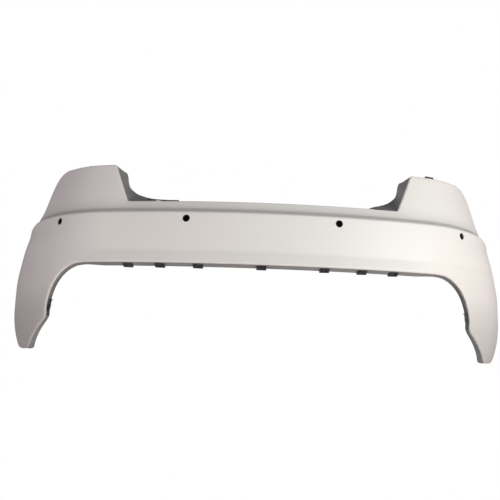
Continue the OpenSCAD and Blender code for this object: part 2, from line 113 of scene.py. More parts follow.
class BumperSizes(bpy.types.PropertyGroup):
    """Sizes of the skin, in metres and radians."""

    crown_radius: size("Crown radius", 2.2, "Radius of the shallow crown across the middle")
    crown_half: size("Crown half width", 0.46, "Half width before the corners start")
    corner_radius: size("Corner radius", 0.455, "Radius of the corners in plan")
    corner_end: size("Corner heading", math.radians(59.7), "Heading where a corner ends", "ROTATION")
    side_radius: size("Side radius", 1.15, "Radius of the sides in plan")
    low: size("Lower edge", 0.2625, "Height of the lower edge of the face above the feet")
    line: size("Feature line", 0.291, "Height of the soft feature line")
    shoulder: size("Shoulder", 0.404, "Height of the top of the shoulder")
    sill: size("Sill", 0.439, "Height of the tailgate sill")
    top: size("Upright top", 0.556, "Height of the uprights")
    wall: size("Wall", 0.0028, "Moulded wall thickness")
    edge: size("Edge radius", 0.005, "Radius where the face turns into its flanges")
    step_mid: size("Shoulder step", 0.013, "Depth of the shoulder step in the middle")
    step_side: size("Side step", 0.003, "Extra depth of the step on the sides")
    side_round: size("Side rounding", 0.009, "Rounding of the sides up to the shoulder")
    sill_lean: size("Sill lean", 0.17, "Extra slope of the narrow face under the sill", "NONE")
    lip_out: size("Lip flare", 0.1, "Slope of the face below the feature line", "NONE")
    flare: size("Flare", 0.021, "Bulge of the sides below the shoulder")
    foot_tuck: size("Foot tuck", 0.026, "Tuck of the feet towards the car")
    arch_radius: size("Arch radius", 0.38, "Radius of the wheel arch edge")
    arch_height: size("Arch centre", 0.09, "Height of the wheel centre")
    arch_start: size("Arch edge", 0.915, "Rearmost point of the arch along the skin")
    rivet_row: size("Rivet row", 0.06, "Rivet row behind the rearmost face")
    sensor_in: size("Inner sensors", 0.22, "Inner sensor holes along the skin")
    sensor_out: size("Outer sensors", 0.633, "Outer sensor holes along the skin")
    sensor_height: size("Sensor height", 0.386, "Height of the sensor holes")
    sensor_hole: size("Sensor hole", 0.0106, "Radius of the sensor holes")
    rivet_hole: size("Rivet hole", 0.0042, "Radius of the rivet holes in the sill flange")
    screw_hole: size("Screw hole", 0.0037, "Radius of the screw holes in the flanges")
    soft_edge: size("Soft edge", 0.0004, "Rounding of the moulded and pressed edges of the fittings")


class BumperLooks(bpy.types.PropertyGroup):
    """Colours of the finishes and of the studio."""

    primer: colour("Primer", "#DAD6D2", "Pale primer on the moulded skin")
    # Colour of the bare back of the skin, also used on the flanges as painted shade.
    bare: colour("Bare skin", "#7A7876", "Unpainted plastic of the flanges and the back")
    black: colour("Black plastic", "#1B1B1C", "Moulded black plastic")
    zinc: colour("Zinc", "#B9BCBE", "Zinc-plated spring steel")
    phosphate: colour("Phosphate", "#2B2C2F", "Black phosphated spring steel")
    rubber: colour("Rubber", "#222122", "Soft black rubber")
    paper: colour("Backdrop", "#FFFFFF", "Plain pale backdrop and floor")
    fill: colour("Fill light", "#EBE9F7", "Soft light from all round")


class BumperView(bpy.types.PropertyGroup):
    """Camera, floor and fill light. Heights are above the feet."""

    lens: size("Lens", 38.592, "Focal length in millimetres on a 36 mm sensor", "CAMERA")
    shift_x: size("Shift across", -0.02306, "Sideways lens shift as a share of the picture", "NONE")
    shift_y: size("Shift up", 0.02904, "Upward lens shift as a share of the picture", "NONE")
    pitch: size("Pitch", math.radians(8.85), "Angle the camera looks up by", "ROTATION")
    yaw: size("Yaw", math.radians(0.97), "Angle the camera stands to the side by", "ROTATION")
    roll: size("Roll", math.radians(1.92), "Tilt of the camera about its line of sight", "ROTATION")
    reach: size("Distance", 1.5036, "Distance from the camera to its aim")
    aim: size("Aim", 0.258, "Height the camera aims at")
    floor: size("Floor", 1.2, "Distance of the floor under the part")
    fill: size("Fill strength", 0.25, "Strength of the soft light from all round", "NONE")


def sizes():
    """The sizes as set in the scene."""
    return bpy.context.scene.bumper_sizes


def looks():
    """The colours as set in the scene."""
    return bpy.context.scene.bumper_looks


def view():
    """The camera and floor as set in the scene."""
    return bpy.context.scene.bumper_view


def rgb(code):
    """sRGB hex to linear, with an alpha of 1."""
    values = [int(code[k:k + 2], 16) / 255 for k in (1, 3, 5)]
    return [v / 12.92 if v <= 0.04045 else ((v + 0.055) / 1.055) ** 2.4 for v in values] + [1.0]


# ---------------------------------------------------------------- shape of the skin

# Distances along the skin from the middle between which the section turns into that of the sides, the
# lower edge into that of the legs, and the sill ends.
SIDE_FROM, SIDE_TO = 0.52, 0.9
LEG_FROM, LEG_TO = 0.43, 0.56
SILL_FROM, SILL_TO = 0.375, 0.455
# Height of the hollow over the shoulder, slope of the face over it in the middle and what the sides add.
COVE = 0.016
LEAN_MID, LEAN_SIDE = 0.13, 0.12
# Slope of the legs below the feature line, and height below which the feet tuck in.
LEG_LIP = 0.1
FOOT = 0.13
# Distance of the rivet holes from the middle.
RIVETS = (0.08, 0.24)


def ease(a, b, t):
    """0 up to a, 1 from b, smooth between."""
    u = np.clip((np.asarray(t, float) - a) / (b - a), 0, 1)
    return u * u * (3 - 2 * u)


def unit(v):
    """Vectors scaled to length 1."""
    return v / np.maximum(np.linalg.norm(v, axis=-1, keepdims=True), 1e-12)


def plan(a):
    """Plan curve: x, y and heading at a distance along the skin from the middle."""
    s = sizes()
    h0 = math.asin(s.crown_half / s.crown_radius)
    a1 = s.crown_radius * h0
    a2 = a1 + s.corner_radius * (s.corner_end - h0)
    x2 = s.crown_half + s.corner_radius * (math.sin(s.corner_end) - math.sin(h0))
    y1 = s.crown_radius * (1 - math.cos(h0))
    y2 = y1 + s.corner_radius * (math.cos(h0) - math.cos(s.corner_end))
    mid, corner = a < a1, a < a2
    h = np.where(mid, a / s.crown_radius, np.where(
        corner, h0 + (a - a1) / s.corner_radius, s.corner_end + (a - a2) / s.side_radius))
    x = np.where(mid, s.crown_radius * np.sin(h), np.where(
        corner, s.crown_half + s.corner_radius * (np.sin(h) - math.sin(h0)),
        x2 + s.side_radius * (np.sin(h) - math.sin(s.corner_end))))
    y = np.where(mid, s.crown_radius * (1 - np.cos(h)), np.where(
        corner, y1 + s.corner_radius * (math.cos(h0) - np.cos(h)),
        y2 + s.side_radius * (math.cos(s.corner_end) - np.cos(h))))
    return x, y, h


def inset(a, z):
    """How far the section lies inside the plan curve at a height above the feet."""
    s = sizes()
    side, leg = ease(SIDE_FROM, SIDE_TO, a), ease(LEG_FROM, LEG_TO, a)
    sill = 1 - ease(SILL_FROM, SILL_TO, a)
    cove = s.shoulder + COVE
    step = (s.step_mid + s.step_side * side) * ease(s.shoulder - 0.002, cove, z)
    lean = (LEAN_MID + LEAN_SIDE * side) * np.maximum(0, z - cove + 0.003)
    lean_more = s.sill_lean * np.maximum(0, np.minimum(z, s.sill + 0.006) - cove + 0.003) * sill
    rounding = s.side_round * side * ease(s.shoulder - 0.085, s.shoulder + 0.002, z)
    bulge = s.flare * side * ease(s.shoulder - 0.008, 0.19, z)
    lip = (LEG_LIP * (1 - side) * leg - s.lip_out * (1 - leg)) * np.maximum(0, s.line - z)
    tuck = s.foot_tuck * side * (np.maximum(0, FOOT - z) / FOOT) ** 2
    return step + lean + rounding - bulge + lean_more + lip + tuck


def skin_point(a, z):
    """Outer surface on the right-hand half, in the build frame with its zero at the feet."""
    x, y, h = plan(a)
    e = inset(a, z)
    return np.stack([x - np.sin(h) * e, y + np.cos(h) * e, z + 0 * x], -1)


def skin_normal(a, z):
    """Outward normal, from points a short way to each side."""
    d = 0.0006
    low = np.maximum(a - d, 0)
    along = skin_point(a + d, z) - skin_point(low, z)
    up = skin_point(a, z + d) - skin_point(a, z - d)
    return unit(np.cross(along, up))


def drop():
    """Height of the mount frame's origin, the underside of the sill flange, above the feet."""
    s = sizes()
    tilt = LEAN_MID + s.sill_lean
    return s.sill + (s.edge * (1 - tilt) - s.wall) / math.sqrt(1 + tilt ** 2)


def arch_edge(z):
    """Distance along the skin at which the wheel arch cuts it off."""
    s = sizes()
    reach = np.sqrt(np.maximum(0, s.arch_radius ** 2 - (z - s.arch_height) ** 2))
    return s.arch_start + s.arch_radius - reach


def outline():
    """Upper and lower outline of the right-hand half, as matching lists of (along, height)."""
    s = sizes()
    top, sill, low = s.top / MM, s.sill / MM, s.low / MM
    along = [0, 60, 120, 180, 240, 290, 325, 355, 385]
    # Sill, a small arc, the slanted inner edge of the upright, its top and the edge over the wheel arch.
    upper = [(a, sill) for a in along]
    for k in range(5):
        turn = math.radians(k * 16.7 - 90)
        upper.append((400.8 + 14 * math.cos(turn), sill + 14 + 14 * math.sin(turn)))
    upper += [(413.6 + 43.4 * k / 5, sill + 8.5 + (top - 17.5 - sill) * k / 5) for k in range(1, 6)]
    upper += [(459, top - 4), (461, top - 1), (465, top)]
    upper += [(a, top + (a - 465) / 60) for a in (500, 545, 590, 630)]
    upper += [(667, top + 5), (710, top + 2), (748, top - 9), (779, top - 29), (798, top - 58)]
    upper += [(809, top - 85), (821, top - 104), (843, top - 116)]
    upper += [(a, top - 119 - (a - 885) / 40) for a in (885, 940, 995, 1045, 1088)]
    upper += [(float(arch_edge((top - 125) * MM)) / MM, top - 125)]
    # Lower edge of the face, a quarter ellipse down the leg, the slant of the foot and the foot.
    lower = [(a, low) for a in along]
    lower += [(385 + k * 10.4, low) for k in range(1, 14)]
    for k in range(1, 10):
        turn = math.radians(k * 10)
        lower.append((530 + 147 * math.sin(turn), 101 + (low - 101) * math.cos(turn)))
    lower += [(706, 75), (739, 47), (768, 22), (786, 9), (811, 5), (846, 4), (880, 5), (907, 9)]
    lower += [(float(arch_edge(0.018)) / MM, 18)]
    return np.array(upper) * MM, np.array(lower) * MM


def smooth_line(points, t):
    """Akima curve through the points at fractional indices t, by distance along the polyline."""
    step = np.linalg.norm(np.diff(points, axis=0), axis=1)
    x = np.concatenate([[0], np.cumsum(step)])
    k = np.clip(np.floor(t).astype(int), 0, len(points) - 2)
    at = x[k] + (t - k) * step[k]
    m = np.diff(points, axis=0) / step[:, None]
    m = np.vstack([2 * m[0] - m[1], 2 * m[0] - m[1], m, 2 * m[-1] - m[-2], 2 * m[-1] - m[-2]])
    w1 = np.abs(m[3:] - m[2:-1])
    w2 = np.abs(m[1:-2] - m[:-3])
    total = w1 + w2
    n = len(points)
    w1, w2, total = w1[:n], w2[:n], total[:n]
    flat = total < 1e-9
    slope = np.where(flat, (m[1:n + 1] + m[2:n + 2]) / 2,
                     (w1 * m[1:n + 1] + w2 * m[2:n + 2]) / np.where(flat, 1, total))
    h = step[k][:, None]
    u = ((at - x[k]) / step[k])[:, None]
    p0, p1, d0, d1 = points[k], points[k + 1], slope[k] * h, slope[k + 1] * h
    return ((2 * u ** 3 - 3 * u ** 2 + 1) * p0 + (u ** 3 - 2 * u ** 2 + u) * d0
            + (3 * u ** 2 - 2 * u ** 3) * p1 + (u ** 3 - u ** 2) * d1)


def columns(spacing):
    """Fractional column indices, closer where the outline is long."""
    upper, lower = outline()
    t = [0.0]
    for i in range(len(upper) - 1):
        reach = max(np.linalg.norm(upper[i + 1] - upper[i]), np.linalg.norm(lower[i + 1] - lower[i]))
        n = max(2, math.ceil(reach / spacing))
        t += [i + (k + 1) / n for k in range(n)]
    return np.array(t)


def rows():
    """Shares of the height at which the rows lie, below the shoulder, in the crease and over it."""
    below = 1 - (1 - np.linspace(0, 1, 37)) ** 1.15
    crease = np.linspace(0, 1, 17)[1:]
    above = np.linspace(0, 1, 21)[1:] ** 1.1
    return below, crease, above


def skin_grid(spacing):
    """Along and height of every grid point of the right-hand half, rows by columns."""
    s = sizes()
    upper, lower = outline()
    t = columns(spacing)
    hi, lo = smooth_line(upper, t), smooth_line(lower, t)
    last = len(upper) - 1
    # From this column on, the columns fan out from the leg to the wheel arch.
    fan = 33
    pull = np.clip((t - fan) / (last - fan), 0, 1)
    root = 0.4 * lower[fan][0] + 0.6 * upper[fan][0]
    share = 0.5 + 0.1 * ease(8, 12, t)
    middle = lo[:, 0] * (1 - share) + hi[:, 0] * share
    out = []
    below, crease, above = rows()

    def shoulder_at(z):
        return np.where(t < fan, middle, root + (arch_edge(z) - root) * pull)

    base = shoulder_at(s.shoulder)
    for w in below:
        z = lo[:, 1] + (s.shoulder - lo[:, 1]) * w
        a = lo[:, 0] + (base - lo[:, 0]) * w
        fix = arch_edge(z) - (lo[-1, 0] + (arch_edge(s.shoulder) - lo[-1, 0]) * w)
        out.append(np.stack([a + fix * pull, z], -1))
    for w in crease:
        z = np.full_like(t, s.shoulder + COVE * w)
        out.append(np.stack([shoulder_at(z), z], -1))
    cove = s.shoulder + COVE
    start = shoulder_at(np.full_like(t, cove))
    for w in above:
        z = cove + (hi[:, 1] - cove) * w
        a = start + (hi[:, 0] - start) * w
        fix = arch_edge(z) - (start[-1] + (hi[-1, 0] - start[-1]) * w)
        out.append(np.stack([a + fix * pull, z], -1))
    return t, np.array(out)


# Shift of the free edge of the upper flange round the scoop beside an upright, along and up, in millimetres.
SCOOP = ((0, 0), (-4, 12), (-10, 23), (-19, 29), (-21, 34), (-16, 37), (-10, 40), (-5, 43), (0, 45), (2, 35),
         (0, 26), (-4, 18), (-9, 11), (-13, 3), (-14, 0), (-12, -2), (-8, -3))


def flange_low(i):
    """Depth, lean, lip and shift of the flange below the face, in millimetres, by column index."""
    depth = np.interp(i, (21, 30, 31, 33, 39), (23, 25, 26, 25.5, 22))
    lean = np.where(i < 21, 7.4 - 3.4 * ease(14, 22, i), np.interp(i, (21, 30, 33, 34), (4, -1, -1, 0)))
    lip = 0.5 + 2 * np.sin(math.pi * np.clip((i - 21) / 10, 0, 1))
    return depth, lean, lip, 0 * i, 0 * i


def even_curve(points, t):
    """Cubic curve through evenly spaced points at fractional indices t."""
    k = np.clip(np.floor(t).astype(int), 0, len(points) - 2)
    u = (t - k)[:, None]
    slope = np.gradient(points, axis=0)
    return ((2 * u ** 3 - 3 * u ** 2 + 1) * points[k] + (u ** 3 - 2 * u ** 2 + u) * slope[k]
            + (3 * u ** 2 - 2 * u ** 3) * points[k + 1] + (u ** 3 - u ** 2) * slope[k + 1])


def flange_top(i):
    """Depth, lean, lip and shift of the flange above the face, in millimetres, by column index."""
    scoop = 60 + 16 * ease(5, 13, i)
    upright = 46 - 12 * np.clip(i - 22, 0, 1)
    depth = np.where(i < 5, 60, np.where(i < 18, scoop, np.where(
        i < 22, 76 - 30 * (i - 18) / 4, np.where(i < 31, upright, 34 - 10 * (i - 30) / 9))))
    shift = even_curve(np.array(((0, 0),) + SCOOP + ((-4, -1), (0, 0)), float), np.clip(i - 4, 0, 18.999))
    return depth, 0 * i, 0.5 + 0 * i, shift[:, 0], shift[:, 1]


def flange_dir(a):
    """Direction a return flange runs in: straight forward, turning inwards on the sides."""
    h = plan(a)[2]
    w = h * ease(math.radians(30), math.radians(75), h)
    return np.stack([-np.sin(w), np.cos(w), 0 * w], -1)


# Rings in the rounded turn from the face into a flange.
ROUNDING = 5


def skin_arrays(spacing):
    """Points of the whole outer sheet, row and column of those along its edge, and the rings that the edge
    is drawn through for its rounded turn and its flanges."""
    s = sizes()
    t, grid = skin_grid(spacing)
    p, n = skin_point(grid[..., 0], grid[..., 1]), skin_normal(grid[..., 0], grid[..., 1])
    back = flange_dir(grid[..., 0])
    flip = np.array([-1, 1, 1])

    def whole(v):
        return np.concatenate([v[:, :0:-1] * flip, v], axis=1)

    points, normals, backs = whole(p), whole(n), whole(back)
    index = np.concatenate([t[:0:-1], t])
    side = np.concatenate([-np.ones(len(t) - 1), np.ones(len(t))])
    nj, ni = points.shape[:2]
    loop = [(0, i) for i in range(ni)] + [(j, ni - 1) for j in range(1, nj)]
    loop += [(nj - 1, i) for i in range(ni - 2, -1, -1)] + [(j, 0) for j in range(nj - 2, 0, -1)]
    jj, ii = np.array(loop).T
    lp, ln, lb, lt, ls = points[jj, ii], normals[jj, ii], backs[jj, ii], index[ii], side[ii]
    tangent = unit(lp - np.roll(lp, 1, 0)) + unit(np.roll(lp, -1, 0) - lp)
    m = unit(np.cross(tangent, ln))
    low, high = flange_low(lt), flange_top(lt)
    plain = (22 + 0 * lt, 0 * lt, 0.5 + 0 * lt, 0 * lt, 0 * lt)
    depth, lean, lip, along, up = [
        np.where(jj == 0, a, np.where(jj == nj - 1, b, c)) * MM for a, b, c in zip(low, high, plain)]
    sideways = np.stack([lb[:, 1] * ls, -lb[:, 0] * ls, 0 * ls], -1)
    off = m * lean[:, None] + sideways * along[:, None] + np.array([0, 0, 1]) * up[:, None]
    centre = lp - ln * s.edge
    deep = (depth - s.edge - s.wall)[:, None]
    rings = [centre + s.edge * (ln * math.cos(a) + m * math.sin(a))
             for a in np.radians([90 * k / ROUNDING for k in range(1, ROUNDING + 1)])]
    for f in (0.2, 0.45, 0.7, 0.9, 1.0):
        rings.append(centre + m * s.edge + lb * deep * f + off * f)
    rings.append(rings[-1] + m * lip[:, None])
    shift = np.array([0, s.rivet_row, drop()])
    return points - shift, loop, [r - shift for r in rings]


# ---------------------------------------------------------------- mesh helpers

def deselect():
    """Back to object mode with nothing selected."""
    if bpy.context.mode != "OBJECT":
        bpy.ops.object.mode_set(mode="OBJECT")
    bpy.ops.object.select_all(action="DESELECT")


def activate(obj):
    """Only this object selected and active."""
    deselect()
    obj.select_set(True)
    bpy.context.view_layer.objects.active = obj


def modifier(obj, kind, **settings):
    """Adds a modifier with its settings and applies it."""
    activate(obj)
    made = obj.modifiers.new(kind.title(), kind)
    for key, value in settings.items():
        setattr(made, key, value)
    bpy.ops.object.modifier_apply(modifier=made.name)


def finish_piece(obj, name, body, replaced, angle):
    """Applies transforms, names, shades and hands the piece to the body of the CAD node it stands for."""
    activate(obj)
    bpy.ops.object.transform_apply(location=True, rotation=True, scale=True)
    obj.name = obj.data.name = name
    bpy.ops.object.shade_smooth_by_angle(angle=math.radians(angle))
    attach(obj, body)
    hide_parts(replaced)


def cut(obj, cutters):
    """Cuts the joined cutters out of obj."""
    deselect()
    for c in cutters:
        c.select_set(True)
    bpy.context.view_layer.objects.active = cutters[0]
    bpy.ops.object.join()
    tool = bpy.context.view_layer.objects.active
    modifier(obj, "BOOLEAN", operation="DIFFERENCE", object=tool, solver="EXACT")
    bpy.data.objects.remove(tool, do_unlink=True)


def rod(radius, length, matrix, vertices=32):
    """Round cutter, its middle at the frame's origin and its axis along the frame's Z."""
    deselect()
    bpy.ops.mesh.primitive_cylinder_add(vertices=vertices, radius=radius, depth=length)
    obj = bpy.context.active_object
    obj.matrix_world = matrix
    bpy.ops.object.transform_apply(location=True, rotation=True, scale=True)
    return obj


def skin_frame(a, z, side):
    """Frame on the skin: local Z along the outward normal, local Y up."""
    p, n = skin_point(np.array(a), np.array(z)), skin_normal(np.array(a), np.array(z))
    p = p - np.array([0, sizes().rivet_row, drop()])
    p, n = Vector((p[0] * side, p[1], p[2])), Vector((n[0] * side, n[1], n[2]))
    x = Vector((0, 0, 1)).cross(n).normalized()
    y = n.cross(x)
    return Matrix(((x.x, y.x, n.x, p.x), (x.y, y.y, n.y, p.y), (x.z, y.z, n.z, p.z), (0, 0, 0, 1)))


def merged_copy(name):
    """Copy of a CAD node with its loose triangles joined and its flat faces made whole."""
    obj = bpy.data.objects.new(name, frame["nodes"][name].data.copy())
    bpy.context.scene.collection.objects.link(obj)
    activate(obj)
    bpy.ops.object.mode_set(mode="EDIT")
    bpy.ops.mesh.select_all(action="SELECT")
    bpy.ops.mesh.remove_doubles(threshold=0.00001)
    bpy.ops.mesh.dissolve_limited(angle_limit=math.radians(0.6))
    bpy.ops.mesh.normals_make_consistent(inside=False)
    bpy.ops.object.mode_set(mode="OBJECT")
    return obj


def screw_places(name):
    """Middle of every screw in a CAD node that holds several upright ones, well apart."""
    places = []
    apart = 0.03
    for v in frame["nodes"][name].data.vertices:
        near = next((p for p in places if (p[0] - v.co).length < apart), None)
        if near is None:
            places.append([v.co.copy(), v.co.copy(), v.co.copy()])
        else:
            near[1] = Vector(map(min, near[1], v.co))
            near[2] = Vector(map(max, near[2], v.co))
    return [(low + high) / 2 for _, low, high in places]


# ---------------------------------------------------------------- materials

# A pattern's scale is its grains in a metre, so 1000 divided by the size of one grain in millimetres.

def node(tree, kind, inputs=(), stops=(), **settings):
    """Adds a node with its settings, sets or links its inputs and sets the stops of its ramp."""
    made = tree.nodes.new(kind)
    for key, value in settings.items():
        setattr(made, key, value)
    for key, value in dict(inputs).items():
        if isinstance(value, bpy.types.NodeSocket):
            tree.links.new(value, made.inputs[key])
        else:
            made.inputs[key].default_value = value
    points = made.color_ramp.elements if stops else ()
    while len(points) < len(stops):
        points.new(0.5)
    for point, (place, value) in zip(points, stops):
        point.position = place
        point.color = value
    return made


def new_material(name):
    """Empty material with its node tree."""
    made = bpy.data.materials.new(name)
    made.use_nodes = True
    made.node_tree.nodes.clear()
    return made, made.node_tree


def toned(base, factor, lift=0.0):
    """Colour lightened or darkened by a factor, and lifted."""
    return [min(1, c * factor + lift) for c in base[:3]] + [1]


def grey(value):
    """Neutral colour of an even value."""
    return value, value, value, 1


# Painted shade by height above the feet in metres, as a factor on the primer's colour: darker towards the feet,
# under the feature line and in the crease over the shoulder, where shade falls.
PAINTED_SHADE_BY_HEIGHT = ((0.0, 0.57), (0.10, 0.67), (0.20, 0.88), (0.275, 0.955), (0.287, 0.94), (0.300, 1.0), (0.401, 1.0),
        (0.410, 0.72), (0.417, 0.70), (0.426, 0.86), (0.440, 0.95), (0.46, 1.0))


def primer_material():
    """Two-part primer sprayed over moulded polypropylene: an even, pale, half-matt coat, darkened by painted
    shade by height.
    """
    made, tree = new_material("primer_sprayed_polypropylene")
    where = node(tree, "ShaderNodeTexCoord").outputs["Object"]
    base = rgb(looks().primer)
    # Passes of the spray gun, about 450 mm apart: the coat drifts a shade lighter and darker.
    broad = node(tree, "ShaderNodeTexNoise", {"Vector": where, "Scale": 2.2, "Detail": 3.0, "Roughness": 0.5})
    tone = node(tree, "ShaderNodeValToRGB", {"Fac": broad.outputs["Fac"]}, [
        (0.25, toned(base, 0.975)), (0.75, toned(base, 1.02))])
    height = node(tree, "ShaderNodeSeparateXYZ", {"Vector": where}).outputs["Z"]
    share = node(tree, "ShaderNodeMapRange", {
        "Value": height, "From Min": -drop(), "From Max": sizes().top - drop()})
    # Painted shade: a ramp of darkening by height, from the table above.
    coat = node(tree, "ShaderNodeValToRGB", {"Fac": share.outputs["Result"]}, [
        (z / sizes().top, grey(shade_factor)) for z, shade_factor in PAINTED_SHADE_BY_HEIGHT])
    # Input 0 of a colour Mix is its factor, inputs 6 and 7 its two colours and output 2 its colour.
    # The primer's tone multiplied by the painted shade.
    shaded_tone = node(tree, "ShaderNodeMix", {0: 1.0, 6: tone.outputs["Color"], 7: coat.outputs["Color"]},
                data_type="RGBA", blend_type="MULTIPLY")
    # Dry spray in patches of 2.4 mm, coarser than the real 0.5 mm so that it shows: the sheen is uneven.
    fine = node(tree, "ShaderNodeTexNoise", {"Vector": where, "Scale": 420.0, "Detail": 4.0, "Roughness": 0.6})
    gloss = node(tree, "ShaderNodeValToRGB", {"Fac": fine.outputs["Fac"]}, [
        (0.3, grey(0.40)), (0.7, grey(0.50))])
    # Orange peel with waves of 4 mm, as on sprayed plastic: highlights have a softly rippled edge.
    peel = node(tree, "ShaderNodeTexNoise", {"Vector": where, "Scale": 260.0, "Detail": 2.0, "Roughness": 0.45})
    bump = node(tree, "ShaderNodeBump", {"Height": peel.outputs["Fac"], "Strength": 0.12, "Distance": 0.00025})
    shader = node(tree, "ShaderNodeBsdfPrincipled", {
        "Base Color": shaded_tone.outputs[2], "Roughness": gloss.outputs["Color"], "Normal": bump.outputs["Normal"],
        "Specular IOR Level": 0.42})
    node(tree, "ShaderNodeOutputMaterial", {"Surface": shader.outputs["BSDF"]})
    return made


def bare_back_flange_shade_material():
    """Unpainted moulded polypropylene with a dusting of primer overspray on the back of the skin, also laid on
    the flanges as painted shade: dark, dull and mottled.
    """
    made, tree = new_material("bare_back_with_painted_flange_shade")
    where = node(tree, "ShaderNodeTexCoord").outputs["Object"]
    base, dust = rgb(looks().bare), rgb(looks().primer)
    # Clouds of overspray about 70 mm wide, of specks of 1.1 mm, coarser than real so that they show.
    drift = node(tree, "ShaderNodeTexNoise", {"Vector": where, "Scale": 14.0, "Detail": 4.0, "Roughness": 0.6})
    speck = node(tree, "ShaderNodeTexNoise", {"Vector": where, "Scale": 900.0, "Detail": 3.0, "Roughness": 0.7})
    both = node(tree, "ShaderNodeMath", {0: drift.outputs["Fac"], 1: speck.outputs["Fac"]},
                operation="MULTIPLY")
    dusty = [a * 0.8 + b * 0.2 for a, b in zip(base, dust)]
    tone = node(tree, "ShaderNodeValToRGB", {"Fac": both.outputs["Value"]}, [(0.18, base), (0.5, dusty)])
    bump = node(tree, "ShaderNodeBump", {"Height": speck.outputs["Fac"], "Strength": 0.15, "Distance": 0.0002})
    shader = node(tree, "ShaderNodeBsdfPrincipled", {
        "Base Color": tone.outputs["Color"], "Roughness": 0.62, "Normal": bump.outputs["Normal"],
        "Specular IOR Level": 0.35})
    node(tree, "ShaderNodeOutputMaterial", {"Surface": shader.outputs["BSDF"]})
    return made


def black_material():
    """Black polypropylene from an eroded mould: a fine, even, leathery grain that spreads the light."""
    made, tree = new_material("black_polypropylene_moulded")
    where = node(tree, "ShaderNodeTexCoord").outputs["Object"]
    base = rgb(looks().black)
    # Flow of the melt in patches of 33 mm: slightly darker and lighter areas.
    broad = node(tree, "ShaderNodeTexNoise", {"Vector": where, "Scale": 30.0, "Detail": 3.0})
    tone = node(tree, "ShaderNodeValToRGB", {"Fac": broad.outputs["Fac"]}, [
        (0.3, toned(base, 0.8)), (0.7, toned(base, 1.3))])
    # Mould grain with cells of 0.7 mm, coarser than the real 0.3 mm so that it shows.
    grain = node(tree, "ShaderNodeTexVoronoi", {"Vector": where, "Scale": 1400.0})
    bump = node(tree, "ShaderNodeBump", {
        "Height": grain.outputs["Distance"], "Strength": 0.25, "Distance": 0.0002})
    shader = node(tree, "ShaderNodeBsdfPrincipled", {
        "Base Color": tone.outputs["Color"], "Roughness": 0.55, "Normal": bump.outputs["Normal"]})
    node(tree, "ShaderNodeOutputMaterial", {"Surface": shader.outputs["BSDF"]})
    return made


def zinc_material():
    """Electroplated spring steel: bright zinc, faintly spangled, with scuffs that dull its shine."""
    made, tree = new_material("zinc_plated_spring_steel")
    where = node(tree, "ShaderNodeTexCoord").outputs["Object"]
    base = rgb(looks().zinc)
    # Spangles of 2.9 mm, coarser than real so that they show as small steps in brightness.
    cells = node(tree, "ShaderNodeTexVoronoi", {"Vector": where, "Scale": 350.0})
    tone = node(tree, "ShaderNodeValToRGB", {"Fac": cells.outputs["Distance"]}, [
        (0.0, toned(base, 0.85)), (0.8, toned(base, 1.1))])
    # Scuffs of 1.1 mm, coarser than real so that they show.
    scuff = node(tree, "ShaderNodeTexNoise", {"Vector": where, "Scale": 900.0, "Detail": 5.0})
    gloss = node(tree, "ShaderNodeValToRGB", {"Fac": scuff.outputs["Fac"]}, [
        (0.3, grey(0.28)), (0.7, grey(0.46))])
    bump = node(tree, "ShaderNodeBump", {"Height": scuff.outputs["Fac"], "Strength": 0.1, "Distance": 0.0001})
    shader = node(tree, "ShaderNodeBsdfPrincipled", {
        "Base Color": tone.outputs["Color"], "Roughness": gloss.outputs["Color"], "Metallic": 1.0,
        "Normal": bump.outputs["Normal"]})
    node(tree, "ShaderNodeOutputMaterial", {"Surface": shader.outputs["BSDF"]})
    return made


def phosphate_material():
    """Spring steel with an oiled black phosphate coat: dark and satiny, rubbed grey in places."""
    made, tree = new_material("black_phosphated_spring_steel")
    where = node(tree, "ShaderNodeTexCoord").outputs["Object"]
    base = rgb(looks().phosphate)
    # Rubbed patches of 14 mm: bare steel shows through the coat.
    rub = node(tree, "ShaderNodeTexNoise", {"Vector": where, "Scale": 70.0, "Detail": 3.0, "Distortion": 0.6})
    tone = node(tree, "ShaderNodeValToRGB", {"Fac": rub.outputs["Fac"]}, [
        (0.35, toned(base, 0.8)), (0.72, toned(base, 2.2))])
    # Phosphate crystals drawn 0.8 mm wide, far coarser than real so that they show.
    crystal = node(tree, "ShaderNodeTexNoise", {
        "Vector": where, "Scale": 1300.0, "Detail": 6.0, "Roughness": 0.7})
    gloss = node(tree, "ShaderNodeValToRGB", {"Fac": crystal.outputs["Fac"]}, [
        (0.3, grey(0.36)), (0.7, grey(0.56))])
    bump = node(tree, "ShaderNodeBump", {
        "Height": crystal.outputs["Fac"], "Strength": 0.18, "Distance": 0.0001})
    shader = node(tree, "ShaderNodeBsdfPrincipled", {
        "Base Color": tone.outputs["Color"], "Roughness": gloss.outputs["Color"], "Metallic": 0.75,
        "Normal": bump.outputs["Normal"]})
    node(tree, "ShaderNodeOutputMaterial", {"Surface": shader.outputs["BSDF"]})
    return made


def rubber_material():
    """Soft moulded rubber with a dusty bloom: nearly black, without shine, greyer where dust lies."""
    made, tree = new_material("soft_rubber_moulded")
    where = node(tree, "ShaderNodeTexCoord").outputs["Object"]
    base = rgb(looks().rubber)
    # Bloom and dust in patches of 6 mm.
    dust = node(tree, "ShaderNodeTexNoise", {"Vector": where, "Scale": 160.0, "Detail": 5.0, "Roughness": 0.65})
    tone = node(tree, "ShaderNodeValToRGB", {"Fac": dust.outputs["Fac"]}, [
        (0.35, base), (0.8, toned(base, 2.4, 0.004))])
    # Mould texture of 0.4 mm.
    grain = node(tree, "ShaderNodeTexNoise", {"Vector": where, "Scale": 2400.0, "Detail": 2.0})
    bump = node(tree, "ShaderNodeBump", {"Height": grain.outputs["Fac"], "Strength": 0.3, "Distance": 0.0001})
    shader = node(tree, "ShaderNodeBsdfPrincipled", {
        "Base Color": tone.outputs["Color"], "Roughness": 0.82, "Specular IOR Level": 0.3,
        "Sheen Weight": 0.15, "Normal": bump.outputs["Normal"]})
    node(tree, "ShaderNodeOutputMaterial", {"Surface": shader.outputs["BSDF"]})
    return made


